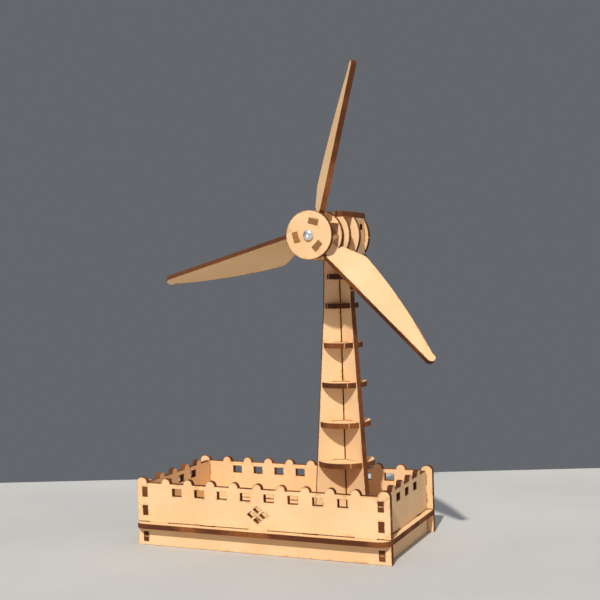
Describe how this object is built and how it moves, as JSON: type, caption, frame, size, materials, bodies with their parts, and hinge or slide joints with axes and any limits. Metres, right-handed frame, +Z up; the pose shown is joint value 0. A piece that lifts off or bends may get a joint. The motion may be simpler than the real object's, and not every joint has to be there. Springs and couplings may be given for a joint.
{
  "type": "wooden 3d jigsaw model",
  "caption": "Slot-together board model of a wind turbine on a ribbed tower in a rectangular desk tray with a battlemented rim; its three-bladed rotor turns on a screw.",
  "frame": {"origin": "bottom centre of the bounding box, on the surface that the tray stands on", "axes": "+Z up along the tower, -Y towards the front of the tray and the rotor, +X to the right along the front wall"},
  "size_m": [0.1872, 0.092, 0.2722],
  "materials": {
    "board": "raw pressed wood board, matt, with scorched brown cut edges",
    "screw_steel": "bright zinc-plated machine steel"
  },
  "bodies": {
    "base": {"floor_plate": "board", "front_wall": "board", "back_wall": "board", "left_wall": "board", "right_wall": "board", "front_skirt": "board", "back_skirt": "board", "left_skirt": "board", "right_skirt": "board", "tower_fin_left": "board", "tower_fin_right": "board", "tower_fin_back": "board", "tower_rib_1": "board", "tower_rib_2": "board", "tower_rib_3": "board", "tower_rib_4": "board", "tower_rib_5": "board", "tower_rib_6": "board", "nacelle_roof": "board", "nacelle_floor": "board", "nacelle_rib_front": "board", "nacelle_rib_middle": "board", "nacelle_rib_rear": "board", "nacelle_side_left": "board", "nacelle_side_right": "board", "rotor_screw": "screw_steel", "hub_washer": "screw_steel", "nut_washer": "screw_steel", "rotor_nut": "screw_steel"},
    "rotor": {"hub_front_disc": "board", "hub_back_disc": "board", "blade_1": "board", "blade_2": "board", "blade_3": "board", "blade_mount_1": "board", "blade_mount_2": "board", "blade_mount_3": "board"}
  },
  "joints": [
    {"name": "rotor_spin", "type": "hinge", "parent": "base", "child": "rotor", "pos_m": [0.02586, -0.03537, 0.1794], "axis": [0, 1, 0], "continuous": true}
  ]
}
